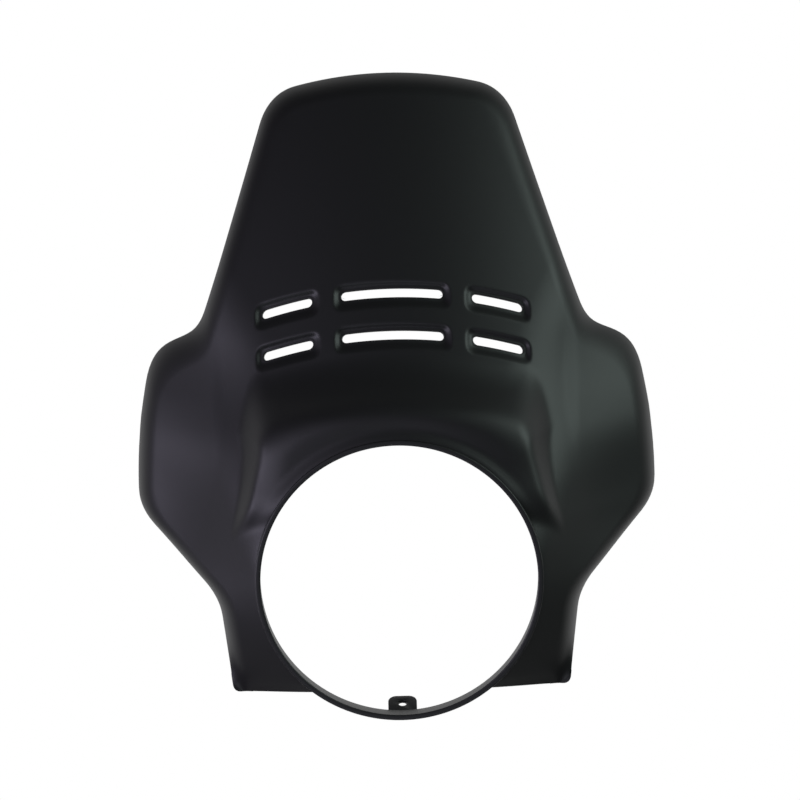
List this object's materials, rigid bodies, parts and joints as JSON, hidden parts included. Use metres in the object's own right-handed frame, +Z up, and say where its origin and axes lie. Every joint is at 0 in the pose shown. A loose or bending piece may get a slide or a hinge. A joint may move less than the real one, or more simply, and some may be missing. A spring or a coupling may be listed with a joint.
{
  "type": "motorcycle windscreen",
  "caption": "One-piece black moulded windscreen cowl with a round lamp opening, side wings, a leaned screen and six vent slots.",
  "frame": {"origin": "centre of the round lamp opening, halfway along its collar", "axes": "+X to the right seen from the front, +Y to the rear, +Z up; the lamp opening faces -Y"},
  "size_m": [0.3734, 0.1681, 0.4419],
  "materials": {
    "cowl_shell": "matte"
  },
  "bodies": {
    "root": {"cowl_shell": "cowl_shell"}
  },
  "joints": []
}
